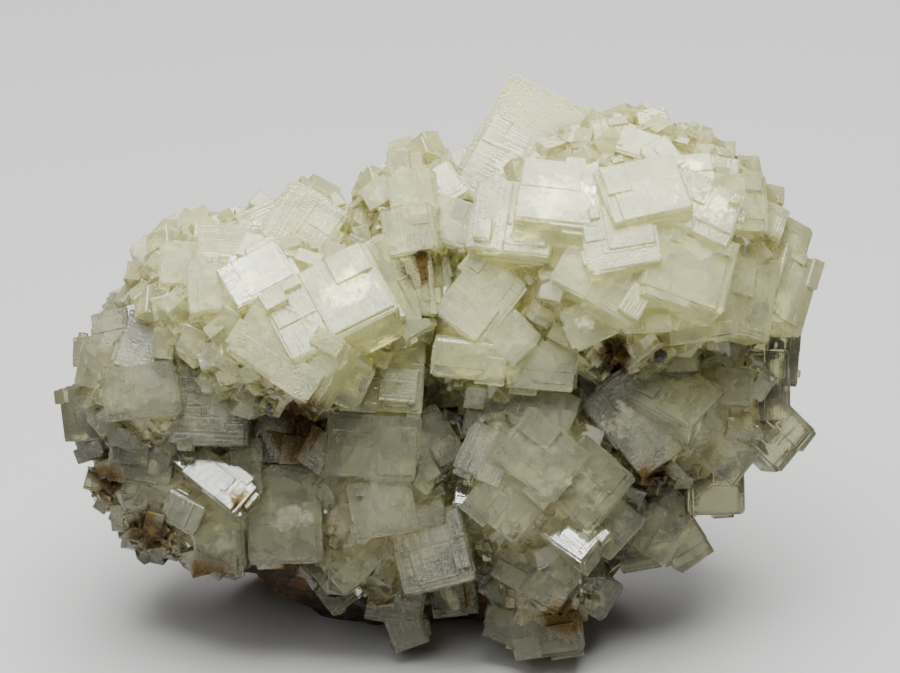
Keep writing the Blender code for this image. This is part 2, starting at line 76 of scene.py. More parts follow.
# (across, up, wide, tall, thick, roll, yaw, pitch[, corner facets]) in mm and degrees, on the
# show face as seen from EYE. Roll turns a crystal anticlockwise, yaw turns it to look right
# and pitch to look up.
GROUPS = {
    "crown_crystals": (
        [Mound(19, -5.5, 42.5, 15.5, 13, 12.5), Mound(6, -8, 35, 9.5, 9, 7.5)],
        {
            "tall_blade": (7.5, 20.0, 9.3, 12.5, 4.5, -27, -5, 10),
            "blade_step": (6.0, 17.5, 8.5, 9.0, 4.0, -27, -8, 15),
            "big_face": (6.5, 12.5, 9.0, 8.0, 7.0, -6, -10, 20),
            "corner_block": (3.0, 4.0, 6.5, 8.0, 6.0, -38, -10, 5),
            "side_slab": (-1.5, 6.0, 3.0, 10.0, 7.0, 13, -15, 5),
            "diamond": (6.5, 0.0, 4.5, 4.5, 4.0, -47, 5, 0),
            "skirt_left": (2.0, -2.5, 7.5, 4.0, 6.0, -6, 0, -10),
            "skirt_right": (9.5, -3.0, 7.0, 5.5, 6.0, -5, 0, -5),
            "brow": (11.5, 15.0, 9.0, 8.0, 7.0, -8, 0, 35),
            "peak": (13.0, 21.5, 3.5, 3.5, 3.0, 40, 0, 20),
            "sky_1": (16.5, 21.5, 4.0, 3.5, 4.0, 10, 0, 40),
            "sky_2": (19.5, 20.0, 4.5, 3.5, 4.0, -20, 5, 30),
            "sky_3": (22.0, 18.8, 3.5, 4.0, 4.0, 30, 5, 30),
            "sky_4": (25.0, 17.5, 4.5, 3.5, 4.0, 5, 5, 30),
            "sky_5": (28.0, 17.0, 4.0, 4.0, 4.0, -10, 10, 25),
            "sky_6": (30.5, 17.0, 4.0, 3.8, 4.0, 5, 15, 20),
            "window": (30.0, 14.0, 6.0, 6.0, 5.0, -3, 15, 15),
            "summit_slab": (20.0, 15.5, 8.5, 7.5, 7.0, 15, 0, 35),
            "shoulder": (26.0, 13.5, 8.0, 7.0, 6.0, -28, 15, 30),
            "middle": (17.5, 10.5, 7.5, 7.0, 7.0, 10, 0, 20),
            "tip": (18.5, 6.0, 6.0, 8.0, 6.0, -33, 5, 12),
            "right_face": (25.0, 7.5, 9.0, 8.0, 7.0, -20, 15, 15),
            "small_face": (13.5, 7.0, 5.0, 5.0, 5.0, -28, -5, 10),
            "clear_square": (30.5, 4.5, 7.5, 8.5, 6.0, -12, 25, 5),
            "right_edge": (35.6, 4.6, 5.2, 8.2, 6.0, -20, 32, 0),
            "right_top": (34.6, 10.3, 6.0, 5.0, 5.0, -27, 28, 15),
            "right_brow": (32.5, 12.5, 5.0, 4.5, 5.0, -30, 20, 30),
            "under_lip": (26.0, 2.0, 7.0, 5.0, 6.0, 10, 5, -5),
            "under_tip": (14.5, 1.5, 5.0, 4.5, 5.0, 25, 0, 0),
            "under_middle": (20.5, 3.0, 5.5, 5.0, 6.0, 2, 5, 0),
        },
    ),
    "notch_crystals": (
        [Mound(-1.8, -3.5, 42.5, 6.3, 9, 8.6)],
        {
            "notch_left": (-4.0, 14.8, 4.8, 4.8, 5.0, 12, -15, 10),
            "notch_middle": (-1.0, 15.5, 4.5, 4.5, 4.0, 35, -5, 20),
            "notch_top": (0.7, 17.5, 4.0, 4.0, 4.0, 25, -5, 25),
            "notch_low": (0.0, 12.0, 5.0, 5.0, 5.0, -20, -10, 10),
            "notch_wall": (-4.5, 11.0, 5.5, 5.0, 5.0, 10, -20, 5),
            "cleft_wall": (-3.8, 6.5, 4.0, 9.0, 5.0, 8, -20, 0),
        },
    ),
    "left_mound_crystals": (
        [Mound(-14.5, -9.5, 37.5, 12, 12, 9.5), Mound(-22, -6.5, 36.5, 9, 10, 8)],
        {
            "left_diamond": (-15.5, 11.5, 7.2, 7.2, 4.5, -32, -5, 15),
            "left_plate": (-12.6, 3.8, 12.0, 8.6, 7.0, 29, -5, 24),
            "lower_plate": (-16.8, -1.2, 11.0, 7.5, 7.0, -32, -12, 5),
            "frosted_block": (-7.0, -3.6, 9.0, 8.5, 9.5, -4, 5, 5),
            "side_wall": (-5.5, 5.0, 5.0, 11.0, 8.0, 26, 32, 15),
            "clear_cube": (-28.0, 7.5, 4.3, 4.5, 4.3, 0, -10, 5),
            "back_block": (-23.0, 9.5, 6.5, 4.8, 5.0, -2, -5, 15),
            "ledge": (-20.0, 6.5, 7.0, 5.0, 6.0, 30, 0, 20),
            "ledge_left": (-24.5, 5.0, 5.5, 5.0, 5.0, 5, -5, 10),
            "ridge": (-19.5, 11.8, 4.5, 3.8, 4.0, 25, 0, 15),
            "thin_blade": (-9.9, 13.6, 3.6, 0.6, 9.0, 37, 0, 10),
            "saddle": (-8.0, 11.3, 4.8, 4.2, 4.5, 10, 5, 30),
            "underside": (-11.5, -4.5, 6.0, 5.0, 5.0, -25, 0, -10),
        },
    ),
    "far_left_crystals": (
        [Mound(-27.5, -6.5, 28, 8.5, 10.5, 8.5)],
        {
            "rounded_tile": (-32.0, -5.6, 8.0, 5.8, 5.0, 8, -10, 0, 1.3),
            "square_tile": (-25.0, -7.0, 8.0, 8.5, 6.0, -2, -5, 0),
            "outer_low": (-38.3, -8.0, 5.2, 6.0, 6.0, 5, -30, -5),
            "outer_middle": (-36.3, -3.0, 5.2, 5.0, 5.0, -10, -25, 5),
            "outer_top": (-34.5, 0.8, 5.5, 4.6, 5.0, 12, -15, 15),
            "outer_chip": (-37.8, -1.5, 3.2, 3.2, 4.0, 0, -30, 5),
            "bright_patch": (-31.0, -1.0, 6.5, 6.0, 5.0, -15, -5, 15),
            "cream_brow": (-30.5, 2.0, 5.8, 4.2, 5.0, 12, -5, 20),
            "cream_middle": (-26.0, -0.5, 6.5, 6.0, 6.0, 10, 0, 12),
            "cream_right": (-21.5, -1.0, 6.0, 5.5, 5.0, -15, 0, 10),
            "tile_edge": (-20.5, -8.0, 3.5, 8.0, 5.0, 2, 15, 0),
        },
    ),
    "lower_left_crystals": (
        [Mound(-22, -8.5, 18, 13, 10, 9)],
        {
            "dark_plate": (-32.0, -12.6, 7.5, 5.8, 5.0, -10, -20, -8),
            "mirror_plate": (-24.0, -14.8, 7.5, 4.0, 5.0, -38, -4, 20),
            "mirror_upper": (-28.5, -11.6, 5.5, 2.6, 4.5, -38, -5, 20),
            "low_block": (-24.0, -21.0, 5.5, 7.0, 5.0, 3, -10, -5),
            "tall_block": (-17.2, -18.4, 7.8, 10.0, 6.0, 2, -5, 0),
            "stepped_block": (-12.5, -19.8, 5.0, 6.5, 6.0, -8, 12, 0),
            "top_block": (-16.0, -15.3, 4.8, 4.0, 6.0, 0, 5, 0),
            "outer_foot": (-37.2, -11.0, 4.2, 3.8, 5.0, 15, -30, -15),
            "upright_bits": (-21.0, -13.5, 3.5, 6.0, 4.0, 2, 10, 0),
            "heel": (-27.8, -18.3, 4.5, 4.0, 4.0, -30, -20, -20),
        },
    ),
    "lower_middle_crystals": (
        [Mound(-6, -10.5, 17.5, 10, 10, 12), Mound(-14.5, -5.5, 24.5, 8, 8, 8)],
        {
            "hanging_block": (-8.0, -10.5, 9.5, 8.5, 7.0, -6, 0, 0),
            "hanging_corner": (-2.0, -11.0, 5.5, 6.5, 5.0, 32, 5, 0),
            "rusty_face": (-16.2, -8.8, 8.0, 9.0, 4.0, -8, 5, 5),
            "wedge": (-13.0, -12.0, 5.0, 4.5, 5.0, -30, -5, 0),
            "knuckle": (-2.0, -22.0, 8.0, 8.0, 7.0, 15, -5, 5),
            "bright_chip": (3.0, -23.0, 4.5, 4.2, 4.0, -30, 0, 10),
            "plate_stack": (-9.0, -23.5, 7.0, 2.5, 5.0, 42, 0, 0),
            "plate_low": (-11.0, -26.0, 5.5, 3.5, 5.0, 38, -5, -5),
            "sole": (-5.5, -27.0, 6.0, 6.0, 5.0, -10, 0, -10),
            "sole_tip": (-4.5, -30.5, 4.0, 4.0, 4.0, 20, 0, -10),
            "pink_block": (0.5, -26.5, 5.0, 5.0, 5.0, 5, 0, -5),
            "shade_block": (-7.0, -17.5, 6.5, 6.0, 5.0, 10, 0, 0),
            "cleft_post": (0.5, -8.6, 6.0, 6.0, 5.0, 1, 0, 0),
        },
    ),
    "lower_front_crystals": (
        [Mound(10.5, -10.5, 19, 10, 10, 12)],
        {
            "front_slab": (9.5, -12.2, 8.0, 6.8, 7.0, -40, 0, 2),
            "front_step": (14.2, -15.2, 7.2, 7.5, 6.5, -39, 3, 0),
            "front_cell": (6.0, -16.8, 7.0, 6.5, 6.5, -38, -2, 3),
            "front_left": (4.0, -12.2, 6.0, 5.5, 6.0, -25, -5, 5),
            "striped_block": (12.8, -20.0, 6.2, 4.8, 5.0, -38, -1, 19),
            "front_low": (9.0, -24.2, 8.5, 6.0, 6.0, -30, -5, 0),
            "front_toe": (6.6, -26.8, 5.0, 5.0, 5.0, 20, 0, -5),
            "small_mirror": (1.8, -16.0, 2.6, 2.9, 3.5, -5, -2, 21),
            "front_right": (16.0, -19.0, 7.0, 6.0, 6.0, -42, 10, -5),
            "blunt_tip": (9.5, -7.5, 7.0, 5.5, 5.0, -22, 0, 0, 1.2),
            "recess": (4.6, -7.8, 6.0, 6.0, 5.0, -10, 0, 0),
        },
    ),
    "right_flank_crystals": (
        [Mound(24.5, -6.5, 26.5, 10, 10, 9)],
        {
            "leaning_slab": (19.0, -8.8, 10.2, 6.4, 5.0, -51, -8, 0),
            "frosted_table": (23.3, -5.6, 7.8, 6.8, 3.0, -36, 3, 38),
            "table_side": (25.5, -9.0, 4.5, 4.5, 5.0, -60, 5, 0),
            "bright_cube": (29.5, -5.0, 3.8, 4.0, 4.0, -5, 5, 10),
            "right_point": (33.5, -9.3, 8.0, 6.2, 5.0, -42, 20, 0),
            "lower_point": (28.5, -12.0, 6.0, 5.0, 5.0, -38, 5, -5),
            "striated_cube": (27.5, -15.5, 6.0, 6.0, 5.0, 1, 5, 0),
            "column": (32.5, -5.0, 5.5, 7.5, 5.0, 0, 10, 0),
            "column_back": (34.5, -1.8, 4.5, 6.5, 5.0, -5, 30, 0),
            "lintel": (21.5, -1.3, 7.5, 5.0, 5.0, -10, 0, 5),
            "recess_wall": (15.8, -5.0, 5.0, 6.0, 5.0, 12, 0, 0),
        },
    ),
    "low_right_crystals": (
        [Mound(20, -7.5, 14, 6.5, 7, 5)],
        {
            "cluster_left": (19.5, -22.0, 4.5, 4.5, 4.0, 10, 0, -5),
            "cluster_middle": (21.8, -20.3, 5.5, 5.5, 5.0, -30, 5, 0),
            "cluster_point": (24.5, -21.5, 4.5, 4.8, 4.0, 33, 10, -5),
            "cluster_top": (22.5, -17.8, 4.5, 4.0, 4.0, 45, 0, 10),
        },
    ),
    "foot_crystals": (
        [Mound(11, -14.5, 8, 5.5, 5, 4)],
        {
            "foot_block": (10.0, -30.3, 7.5, 5.5, 5.5, 8, 0, -5, 1.3),
            "foot_left": (5.5, -30.0, 4.0, 3.5, 4.0, -20, -10, -5),
            "foot_right": (15.0, -26.5, 5.0, 4.5, 4.0, -30, 15, -10),
        },
    ),
}

BACK_GROUPS = {
    "back_left_crystals": ([Mound(-17, 3.5, 30.5, 13, 8.5, 9.5)], {}),
    "back_right_crystals": ([Mound(14, 5, 34.5, 16, 8, 12.5)], {}),
    "back_low_crystals": ([Mound(-3, 9, 22, 10, 4.5, 8)], {}),
}
HIDDEN_SIZES = (4.0 * MM, 8.5 * MM)  # near the outline of the show face, and far behind it
HIDDEN_SPOTS = 101  # places tried on each mound for the crystals of the far side
HIDDEN_FROM = 0.15  # how far a place on a mound turns away before it counts as hidden
HIDDEN_SPACING = 0.8  # shares of a crystal's side
BURIED = 0.97  # share of another mound's radius that a place is left out within

MATRIX_LUMPS = [
    Mound(1, -1, 14, 25, 13.5, 20),
    Mound(-23, -4, 17.5, 14, 11.5, 13),
    Mound(21.5, -0.5, 22, 14, 10.5, 14),
]
ROCK_SWELL = 0.08
ROCK_BREAKS = 14
ROCK_BREAK_DEPTHS = (0.74, 0.95)
ROCK_DETAIL = 6


# ---- mounds and seats ----
def centre_of(mound):
    return Vector((mound.x, mound.y, mound.z)) * MM


def radii_of(mound):
    return Vector((mound.radius_x, mound.radius_y, mound.radius_z)) * MM


def inside(mound, point):
    """Under 1 inside the mound, 1 on its surface."""
    offset = point - centre_of(mound)
    return sum((o / r) ** 2 for o, r in zip(offset, radii_of(mound))) ** 0.5


def sight_through(across, up):
    """The way from the eye through a point of the show face, given in mm."""
    through = SHOW_CENTRE + Vector((1, 0, 0)) * (across * MM) + SIGHT_UP * (up * MM)
    return (through - EYE).normalized()


def seat(mounds, way):
    """Where a line from the eye meets the nearest mound."""
    hits, misses = [], []
    for mound in mounds:
        radii = radii_of(mound)
        start = EYE - centre_of(mound)
        scaled_start = Vector(s / r for s, r in zip(start, radii))
        scaled_way = Vector(w / r for w, r in zip(way, radii))
        a = scaled_way.length_squared
        b = scaled_start.dot(scaled_way)
        c = scaled_start.length_squared - 1
        root = b * b - a * c
        if root >= 0:
            hits.append((-b - math.sqrt(root)) / a)
        else:
            misses.append((-root, -b / a))
    distance = min(hits) if hits else min(misses)[1]
    return EYE + way * distance


def show_turn(roll, yaw, pitch):
    """The turn from a crystal's own axes (x across, y up, z out) to the specimen's."""
    sight = Matrix((Vector((1, 0, 0)), SIGHT_UP, SIGHT_TOWARDS)).transposed()
    own = (
        Matrix.Rotation(math.radians(yaw), 3, "Y")
        @ Matrix.Rotation(-math.radians(pitch), 3, "X")
        @ Matrix.Rotation(math.radians(roll), 3, "Z")
    )
    return sight @ own


Crystal = namedtuple("Crystal", "name size turn centre corner_cut")


def place_of(crystal):
    """The matrix from a crystal's own axes to the specimen's."""
    return Matrix.Translation(crystal.centre) @ crystal.turn.to_4x4()


def show_crystals(mounds, rows):
    for name, (across, up, wide, tall, thick, roll, yaw, pitch, *cut) in rows.items():
        way = sight_through(across, up)
        turn = show_turn(roll, yaw, pitch)
        face_middle = seat(mounds, way) - way * thick * PROUD_SHARE * MM
        centre = face_middle - turn.col[2] * thick * MM / 2
        size = Vector((wide, tall, thick)) * MM
        yield Crystal(name, size, turn, centre, cut[0] * MM if cut else 0.0)


def turned_to_glint(crystal):
    """The crystal with its front turned the last few degrees to mirror the small lamp."""
    face = crystal.centre + crystal.turn.col[2] * crystal.size.z / 2
    halfway = (EYE - face).normalized() + (GLINT_LAMP - face).normalized()
    turn = crystal.turn.col[2].rotation_difference(halfway.normalized()).to_matrix()
    return crystal._replace(turn=turn @ crystal.turn)


def hidden_crystals(mounds, others, dice):
    """Crystals spread over the side of the mounds that the show face doesn't reach."""
    made, taken = [], []
    golden = math.pi * (3 - math.sqrt(5))
    for mound in mounds:
        for step in range(HIDDEN_SPOTS):
            i = step * 7 % HIDDEN_SPOTS
            z = 1 - 2 * (i + 0.5) / HIDDEN_SPOTS
            ring = math.sqrt(1 - z * z)
            unit = Vector((ring * math.cos(golden * i), ring * math.sin(golden * i), z))
            radii = radii_of(mound)
            point = centre_of(mound) + Vector(u * r for u, r in zip(unit, radii))
            normal = Vector(u / r for u, r in zip(unit, radii)).normalized()
            away = -normal.dot(SIGHT_TOWARDS)
            if away < HIDDEN_FROM or any(inside(m, point) < BURIED for m in others):
                continue
            behind = min(1.0, (away - HIDDEN_FROM) / 0.4)
            side = HIDDEN_SIZES[0] + (HIDDEN_SIZES[1] - HIDDEN_SIZES[0]) * behind
            side *= dice.uniform(0.75, 1.1)
            if any((point - at).length < side * HIDDEN_SPACING for at in taken):
                continue
            taken.append(point)
            size = Vector((side, side * dice.uniform(0.75, 1), side * 0.8))
            turn = (
                normal.to_track_quat("Z", "Y").to_matrix()
                @ Matrix.Rotation(dice.uniform(0, math.pi), 3, "Z")
                @ Matrix.Rotation(dice.uniform(-0.5, 0.5), 3, "X")
            )
            centre = point - normal * side * (0.3 - 0.3 * behind * dice.random())
            made.append(Crystal("hidden", size, turn, centre, 0.0))
    return made


# ---- building helpers ----
def add_object(name, data):
    obj = bpy.data.objects.new(name, data)
    bpy.context.scene.collection.objects.link(obj)
    return obj


def gathered(name, meshes):
    """A hidden collection with an object for each mesh."""
    home = bpy.data.collections.new(name)
    bpy.context.scene.collection.children.link(home)
    home.hide_render = True
    for i, mesh in enumerate(meshes):
        home.objects.link(bpy.data.objects.new(f"{name}_{i}", mesh))
    return home


def empty_out(home):
    for obj in list(home.objects):
        mesh = obj.data
        bpy.data.objects.remove(obj)
        bpy.data.meshes.remove(mesh)
    bpy.data.collections.remove(home)


def boolean(obj, operation, others):
    modifier = obj.modifiers.new(operation.title(), "BOOLEAN")
    modifier.operation = operation
    modifier.operand_type = "COLLECTION"
    modifier.collection = others
    modifier.solver = "MANIFOLD"


def joined(name, meshes):
    """The first mesh as an object to which the others are joined, and where they are kept."""
    first, *rest = meshes
    rough, home = add_object(name + "_rough", first), gathered(name + "_parts", rest)
    boolean(rough, "UNION", home)
    return rough, home


def frozen(rough, name, *homes):
    """The object with its modifiers applied, as a plain mesh of its own. The object and the
    collections that it was made from are cleared away."""
    bpy.context.view_layer.update()
    graph = bpy.context.evaluated_depsgraph_get()
    piece = add_object(name, bpy.data.meshes.new_from_object(rough.evaluated_get(graph)))
    bpy.data.objects.remove(rough)
    for home in homes:
        empty_out(home)
    return piece


def mesh_of(shape, name):
    mesh = bpy.data.meshes.new(name)
    shape.to_mesh(mesh)
    shape.free()
    return mesh


def marked_shape(*marks):
    """An empty bmesh with a grain on its corners and the named marks on its faces."""
    shape = bmesh.new()
    shape.loops.layers.float_vector.new("grain")
    for mark in marks:
        shape.faces.layers.float.new(mark)
    return shape


def mark_faces(shape, grain_at, **values):
    grain = shape.loops.layers.float_vector["grain"]
    marks = [(shape.faces.layers.float[key], value) for key, value in values.items()]
    for face in shape.faces:
        for mark, value in marks:
            face[mark] = value
        for loop in face.loops:
            loop[grain] = grain_at(loop.vert.co)


def block_mesh(
    name, size, offset, tilt, chamfer, corner_cut=0.0, tint=0.5, frost=0.0, c_axis=2
):
    """A chamfered box in its crystal's axes. Its grain is each corner's place in the crystal,
    in mm, with the crystal's c axis last."""
    shape = marked_shape("tint", "frost", "bare")
    bmesh.ops.create_cube(shape, size=1)
    bmesh.ops.scale(shape, vec=size, verts=shape.verts)
    if corner_cut:
        bmesh.ops.bevel(
            shape, geom=shape.verts, offset=corner_cut, affect="VERTICES", segments=1
        )
    if chamfer:
        bmesh.ops.bevel(shape, geom=shape.edges, offset=chamfer, affect="EDGES", segments=1)
    bmesh.ops.transform(
        shape, matrix=Matrix.Translation(offset) @ tilt.to_4x4(), verts=shape.verts
    )
    order = [i for i in range(3) if i != c_axis] + [c_axis]
    mark_faces(shape, lambda co: Vector(co[i] for i in order) / MM, tint=tint, frost=frost)
    return mesh_of(shape, name)


def ball_mesh(name, mound, grow=0.0, lumps=0.0, detail=3):
    """A mound as a mesh, grown and lumpy by so much. It is bare, so small crystals cover it."""
    shape = marked_shape("tint", "frost", "bare")
    bmesh.ops.create_icosphere(shape, subdivisions=detail, radius=1)
    radii = radii_of(mound) + Vector((grow, grow, grow))
    for vert in shape.verts:
        unit = vert.co.copy()
        vert.co = Vector(u * r for u, r in zip(unit, radii)) + centre_of(mound)
        vert.co += unit * lumps * noise.fractal(vert.co / MM * 0.45, 0.8, 2.1, 4)
    mark_faces(shape, lambda co: co / MM, tint=0.3, frost=0.4, bare=1.0)
    return mesh_of(shape, name)


def feed(tree, socket, value):
    if isinstance(value, Shade):
        value = value.socket
    if isinstance(value, bpy.types.NodeSocket):
        tree.links.new(value, socket)
    elif value is not None:
        socket.default_value = value


def add_node(tree, kind, settings=None, *values, **named):
    """A node with its settings, then its sockets: in order, or by name with _ for a space."""
    made = tree.nodes.new(kind)
    for key, value in (settings or {}).items():
        if key == "stops":
            set_stops(made.color_ramp, value)
        else:
            setattr(made, key, value)
    for i, value in enumerate(values):
        feed(tree, made.inputs[i], value)
    for key, value in named.items():
        feed(tree, made.inputs[key.replace("_", " ")], value)
    return made


def set_stops(ramp, stops):
    while len(ramp.elements) < len(stops):
        ramp.elements.new(0.5)
    for element, (position, colour) in zip(ramp.elements, stops):
        element.position = position
        element.color = (*colour, 1)


# ---- one crystal ----
# Groups given the darker clear finish: clearer crystal, and painted shade on the lower part.
CLEAR_AND_SHADED_GROUPS = {
    "far_left_crystals", "lower_left_crystals", "lower_middle_crystals", "lower_front_crystals",
    "right_flank_crystals", "low_right_crystals", "foot_crystals", "back_low_crystals",
}
GLINTS = {"mirror_plate", "mirror_upper", "small_mirror", "striped_block"}
STEPPED = {"frosted_block", "frosted_table", "striped_block", "bright_patch", "tall_block"}
FROSTED = {
    "frosted_block", "frosted_table", "left_plate", "lower_plate", "big_face", "tall_blade",
    "bright_patch", "summit_slab", "middle", "rounded_tile", "square_tile", "cream_middle",
}
TALLEST_STEP = 0.26 * MM
MANY_STEPS = 5  # more than the others, on the front of a stepped crystal
VEIL_THICKNESS = 0.015 * MM
VEIL_SPACING = 4.5  # mm of a crystal's length for each veil sealed in it


def plates_of(crystal, dice):
    """(size, offset, turn) of a crystal's body and of the thinner plates grown on its faces,
    each set to one corner of the face, so that the faces rise in steps."""
    size = crystal.size
    step = min(TALLEST_STEP, 0.04 * min(size))
    body = size - Vector((step, step, step)) * 2
    yield body, Vector((0, 0, 0)), Matrix.Identity(3)
    for axis in range(3):
        for way in (-1, 1):
            if axis == 2 and way < 0:
                continue
            spans = [i for i in range(3) if i != axis]
            area = size[spans[0]] * size[spans[1]] / MM**2
            layers = 1 + int(area > 20) + int(area > 45)
            if crystal.name in STEPPED and axis == 2:
                layers += MANY_STEPS
            for layer in range(layers):
                rise = step * (layer + dice.uniform(0.3, 1.0)) / layers * 1.2
                plate, offset = body.copy(), Vector((0, 0, 0))
                plate[axis] = body[axis] / 2 + rise
                offset[axis] = way * plate[axis] / 2
                for span in spans:
                    share = dice.uniform(0.3, 0.97) ** (0.4 + 0.3 * layer)
                    plate[span] = body[span] * share
                    offset[span] = dice.choice((-1, 1)) * body[span] * (1 - share) / 2 * 0.9
                wobble = math.radians(dice.uniform(-0.7, 0.7))
                turn = Matrix.Rotation(wobble, 3, "XYZ"[spans[dice.randrange(2)]])
                yield plate, offset, turn


def satellites_of(crystal, dice):
    """Smaller blocks grown from a big one's corners, nearly parallel to it."""
    count = 2 + int(max(crystal.size) / MM / 3)
    for _ in range(count):
        share = dice.uniform(0.16, 0.6) ** 1.3
        size = Vector(side * share * dice.uniform(0.7, 1.25) for side in crystal.size)
        place = Vector(
            dice.choice((-1, 1)) * (whole - part) / 2 * dice.uniform(0.5, 1)
            for whole, part in zip(crystal.size, size)
        )
        axis = dice.randrange(3)
        rise = dice.uniform(0.02, 0.12) * min(crystal.size)
        way = 1 if axis == 2 else math.copysign(1, place[axis])
        place[axis] = way * ((crystal.size[axis] - size[axis]) / 2 + rise)
        turn = Matrix.Rotation(dice.gauss(0, 0.03), 3, "Z") @ Matrix.Rotation(
            dice.gauss(0, 0.04), 3, "X"
        )
        yield size, place, turn


def veils_of(crystal, dice):
    """(size, offset, turn) of the thin cleavage cracks sealed in a crystal."""
    count = int(max(crystal.size) / MM / VEIL_SPACING)
    for _ in range(count):
        axis = dice.choice((0, 1, 2, 2))
        size = Vector(side * dice.uniform(0.35, 0.85) for side in crystal.size)
        size[axis] = VEIL_THICKNESS
        place = Vector(
            dice.uniform(-0.42, 0.42) * (whole - part) for whole, part in zip(crystal.size, size)
        )
        if axis == 2:
            place.z = crystal.size.z * dice.uniform(0.2, 0.44)
        turn = Matrix.Rotation(dice.gauss(0, 0.1), 3, "X") @ Matrix.Rotation(
            dice.gauss(0, 0.1), 3, "Y"
        )
        yield size, place, turn


def veil_mesh(size, offset, tilt, place):
    """A thin closed flake. Its grain runs from -1 to 1 across its breadth, for its ragged edge."""
    shape = marked_shape("tint")
    bmesh.ops.create_cube(shape, size=1)
    thin = min(range(3), key=lambda i: size[i])
    mark_faces(
        shape,
        lambda co: Vector(0 if i == thin else c * 2 for i, c in enumerate(co)),
        tint=(offset.x + offset.y) / MM,
    )
    bmesh.ops.scale(shape, vec=size, verts=shape.verts)
    bmesh.ops.transform(
        shape, matrix=place @ Matrix.Translation(offset) @ tilt.to_4x4(), verts=shape.verts
    )
    return mesh_of(shape, "veil")


def blocks_of(crystal, dice):
    """The meshes of all the blocks that one crystal is joined from."""
    tint = dice.random()
    c_axis = dice.choice((0, 1, 1, 2))
    frost = 1.0 if crystal.name in FROSTED else dice.random() ** 2 * 0.6
    frost *= crystal.name not in GLINTS
    chamfer = dice.uniform(0.06, 0.12) * MM
    cut = crystal.corner_cut or (dice.random() < 0.25) * dice.uniform(0.25, 0.6) * MM
    parts = [*plates_of(crystal, dice), *satellites_of(crystal, dice)]
    for i, (size, offset, tilt) in enumerate(parts):
        corner = 0.0 if i else cut
        mesh = block_mesh("block", size, offset, tilt, chamfer, corner, tint, frost, c_axis)
        mesh.transform(place_of(crystal))
        yield mesh


# ---- druse: the small crystals between the big ones ----
DRUSE_INPUTS = (  # name, kind and usual value. Smallest and Largest scale a 1 mm crystal
    ("Shapes", "NodeSocketCollection", None),
    ("Finish", "NodeSocketMaterial", None),
    ("Spacing", "NodeSocketFloat", 0.75 * MM),
    ("Smallest", "NodeSocketFloat", 0.6),
    ("Largest", "NodeSocketFloat", 3.2),
    ("Seed", "NodeSocketInt", 1),
)
DRUSE_DENSITY = 900000  # places tried on a square metre, before the spacing thins them
DRUSE_SKEW = 2.4  # over 1, so that most are small
DRUSE_LEAN = Vector((0.8, 0.8, 3.1))


def druse_tree():
    """Geometry nodes that set small crystals on the bare parts of a mound and join them to it."""
    tree = bpy.data.node_groups.new("druse", "GeometryNodeTree")
    face = tree.interface
    face.new_socket("Geometry", in_out="INPUT", socket_type="NodeSocketGeometry")
    for name, kind, value in DRUSE_INPUTS:
        made = face.new_socket(name, in_out="INPUT", socket_type=kind)
        if value is not None:
            made.default_value = value
    face.new_socket("Geometry", in_out="OUTPUT", socket_type="NodeSocketGeometry")

    def node(kind, settings=None, *values, **named):
        return add_node(tree, kind, settings, *values, **named).outputs

    given = node("NodeGroupInput")
    bare = node("GeometryNodeInputNamedAttribute", {"data_type": "FLOAT"}, "bare")
    points = node(
        "GeometryNodeDistributePointsOnFaces",
        {"distribute_method": "POISSON"},
        given["Geometry"],
        Distance_Min=given["Spacing"],
        Density_Max=DRUSE_DENSITY,
        Density_Factor=bare["Attribute"],
        Seed=given["Seed"],
    )
    lean = node(
        "FunctionNodeRandomValue",
        {"data_type": "FLOAT_VECTOR"},
        -DRUSE_LEAN,
        DRUSE_LEAN,
        Seed=given["Seed"],
    )
    turn = node(
        "FunctionNodeRotateRotation",
        {"rotation_space": "LOCAL"},
        points["Rotation"],
        lean["Value"],
    )
    chance = node("FunctionNodeRandomValue", {"data_type": "FLOAT"})
    skewed = node("ShaderNodeMath", {"operation": "POWER"}, chance[1], DRUSE_SKEW)
    scale = node(
        "ShaderNodeMapRange", None, skewed[0], To_Min=given["Smallest"], To_Max=given["Largest"]
    )
    shapes = node("GeometryNodeCollectionInfo", None, given["Shapes"], True, True)
    placed = node(
        "GeometryNodeInstanceOnPoints",
        None,
        points["Points"],
        Instance=shapes[0],
        Pick_Instance=True,
        Rotation=turn[0],
        Scale=scale[0],
    )
    union = add_node(
        tree, "GeometryNodeMeshBoolean", {"operation": "UNION", "solver": "MANIFOLD"}
    )
    for part in (placed["Instances"], given["Geometry"]):
        tree.links.new(part, union.inputs["Mesh 2"])
    whole = node("GeometryNodeRealizeInstances", None, union.outputs["Mesh"])
    finish = node("GeometryNodeSetMaterial", None, whole["Geometry"], Material=given["Finish"])
    node("NodeGroupOutput", None, finish["Geometry"])
    return tree


def small_crystal_shapes(dice):
    """Three small chamfered blocks, 1 mm on edge, partly sunk below their own origin."""
    rise = Vector((0, 0, 0.12 * MM))
    meshes = []
    for i in range(3):
        size = Vector((1, dice.uniform(0.6, 1), dice.uniform(0.8, 1.2))) * MM
        meshes.append(block_mesh("small", size, rise, Matrix.Identity(3), 0.03 * MM, tint=i / 3))
    return gathered("small_crystal_shapes", meshes)


def add_druse(obj, tree, shapes, finish, seed):
    modifier = obj.modifiers.new("druse", "NODES")
    modifier.node_group = tree
    values = {name: value for name, _, value in DRUSE_INPUTS}
    values.update(Shapes=shapes, Finish=finish, Seed=seed)
    for item in tree.interface.items_tree:
        if item.in_out == "INPUT" and item.name in values:
            modifier[item.identifier] = values[item.name]


# ---- groups of crystals ----
MOUND_LUMPS = {"lumps": 0.4 * MM, "detail": 4}
MILKY_LUMPS = {"grow": -1.2 * MM, "lumps": 2.2 * MM, "detail": 5}


